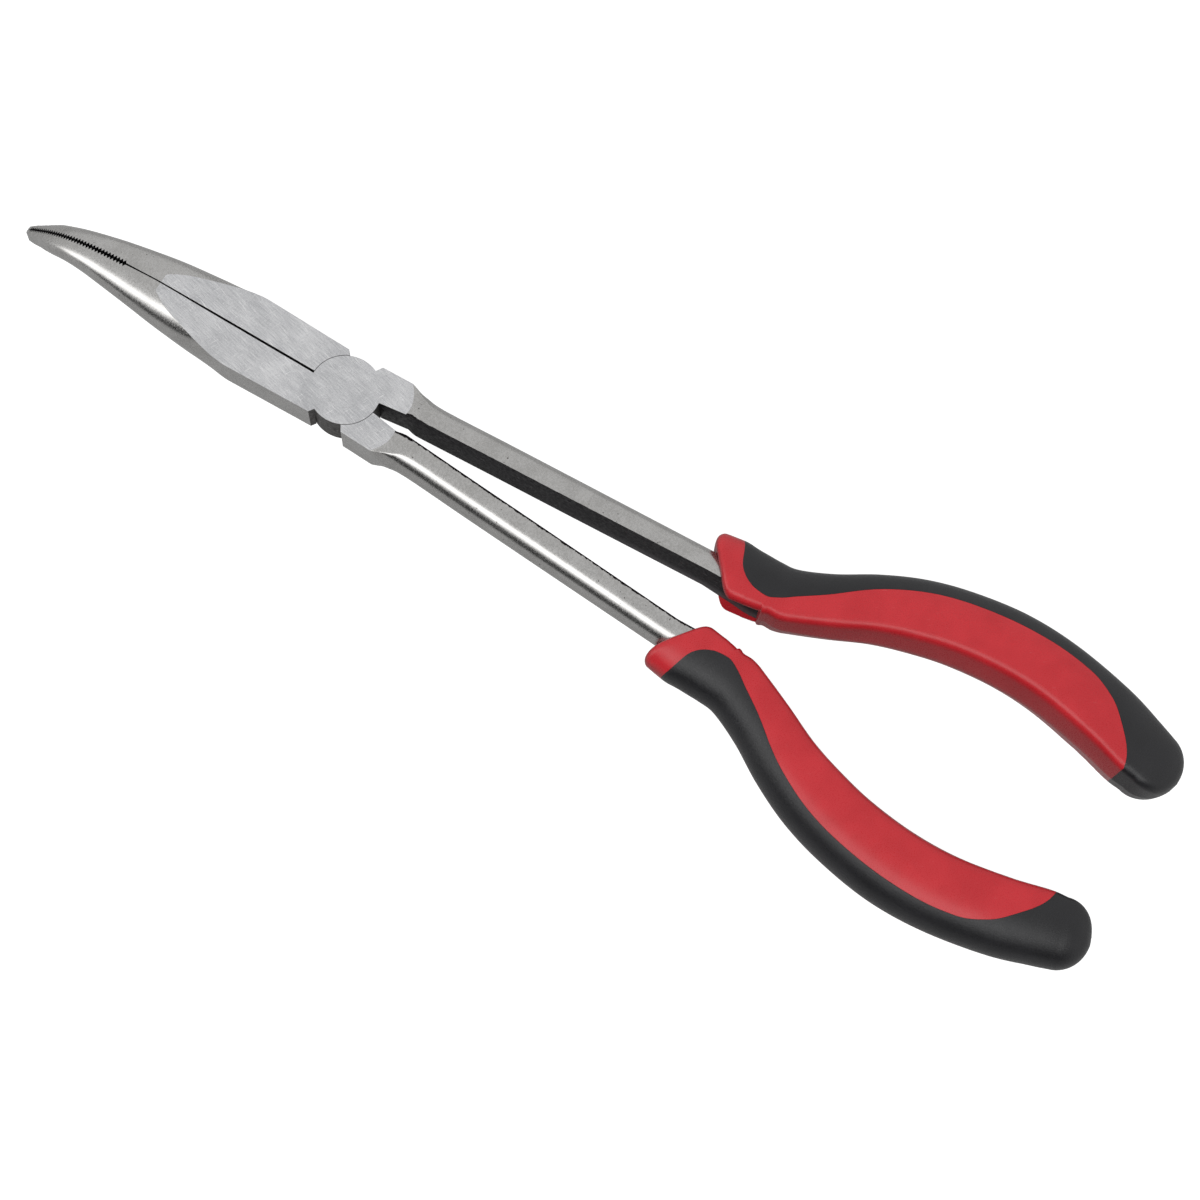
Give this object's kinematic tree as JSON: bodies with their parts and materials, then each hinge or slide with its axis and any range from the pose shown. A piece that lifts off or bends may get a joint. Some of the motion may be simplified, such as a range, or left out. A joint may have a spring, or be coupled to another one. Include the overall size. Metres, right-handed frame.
{
  "type": "bent needle nose pliers",
  "caption": "Long-reach pliers: a lap joint, slim serrated jaws bent at the nose, slender handle bars and two-colour moulded grips.",
  "frame": {"origin": "on the pivot axis, at the joint's back face", "axes": "+Y from the pivot towards the nose, +X to the right with the front face up, +Z out of the joint's front face along the pivot axis"},
  "size_m": [0.0708, 0.2775, 0.0235],
  "materials": {
    "forged_steel": "ground bright on the joint faces, satin as plated elsewhere, dark scale between the handle bars",
    "rivet_steel": "ground flush with the joint faces",
    "red_plastic": "satin moulded red",
    "black_rubber": "fine-textured soft overmould"
  },
  "bodies": {
    "front_lever": {"front_half": "forged_steel", "pivot_rivet": "rivet_steel", "grip_core_right": "red_plastic", "grip_cover_right": "black_rubber"},
    "back_lever": {"back_half": "forged_steel", "grip_core_left": "red_plastic", "grip_cover_left": "black_rubber"}
  },
  "joints": [
    {"name": "pivot", "type": "hinge", "parent": "front_lever", "child": "back_lever", "pos_m": [0, 0, 0.0048], "axis": [0, 0, -1], "range_deg": [0, 44]}
  ]
}
